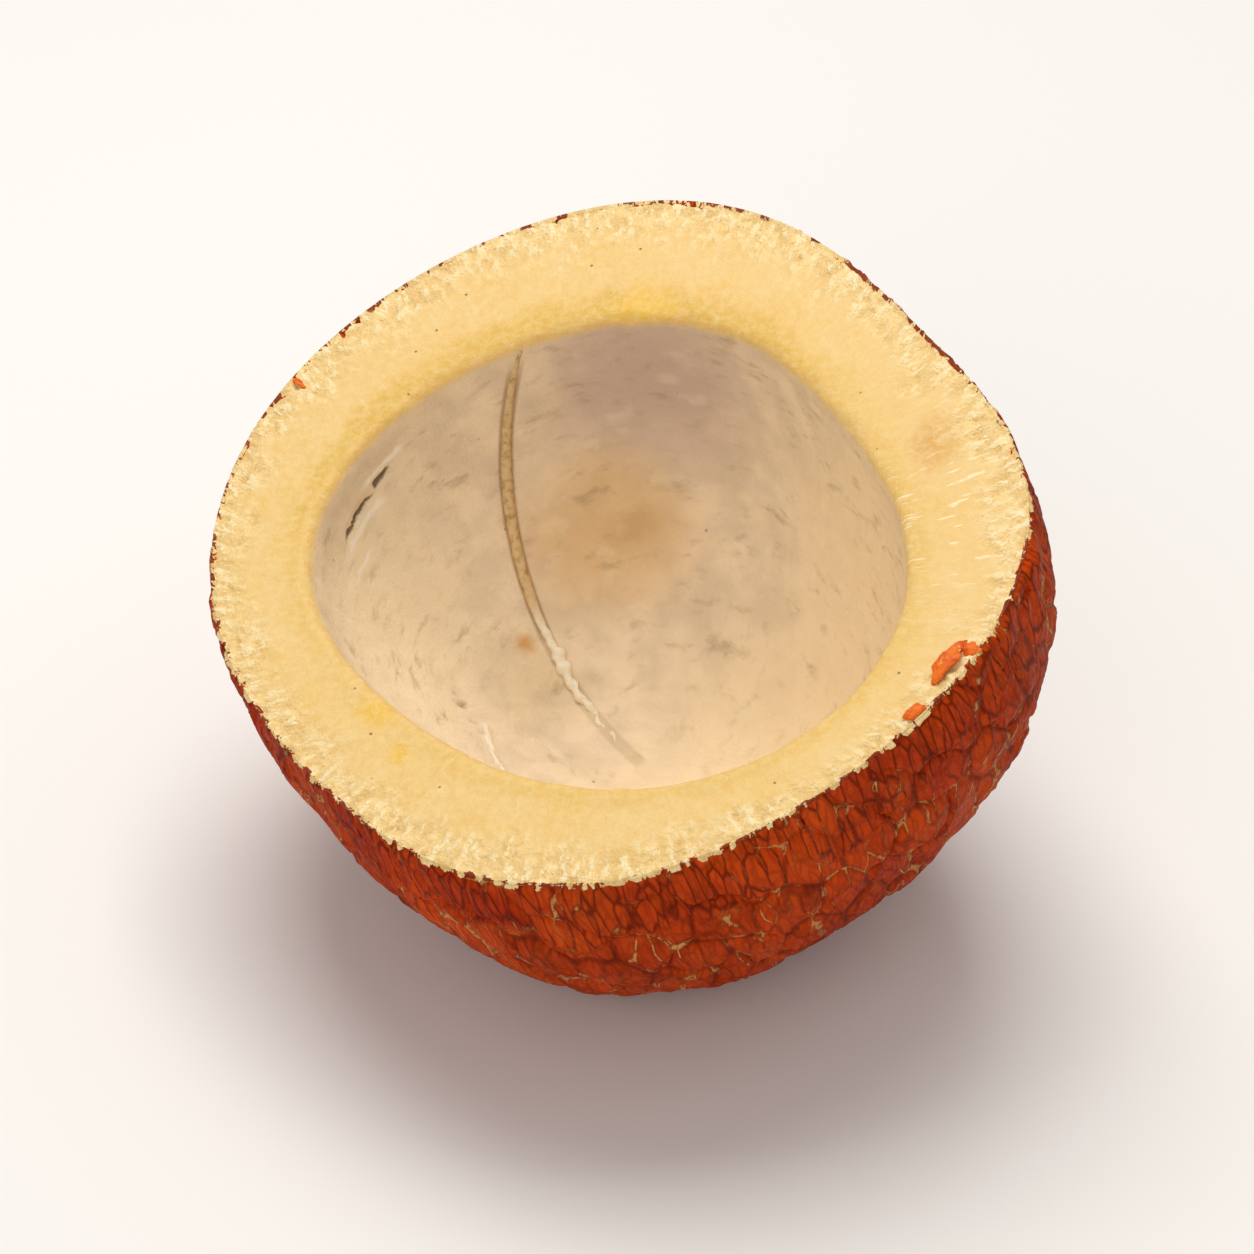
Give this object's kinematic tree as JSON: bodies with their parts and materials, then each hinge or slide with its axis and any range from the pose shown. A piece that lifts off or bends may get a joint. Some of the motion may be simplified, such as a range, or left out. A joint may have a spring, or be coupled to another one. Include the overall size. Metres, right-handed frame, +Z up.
{
  "type": "dried coconut half",
  "caption": "Half of a dried coconut ball, cut face up and leaning: a thick ring of pale meat round an open hollow with a raised vein, under a brown skin of wrinkled plates.",
  "frame": {"origin": "middle of the small flat spot on the underside that the half rests on", "axes": "+Z up, out of the open side; the cut face leans 22 degrees towards azimuth 232 degrees, seen counted from +X towards +Y"},
  "size_m": [0.0946, 0.0969, 0.0666],
  "materials": {
    "skin_and_meat": "slightly glossy wrinkled brown skin, dry matt cream meat"
  },
  "bodies": {
    "root": {"coconut_half": "skin_and_meat"}
  },
  "joints": []
}
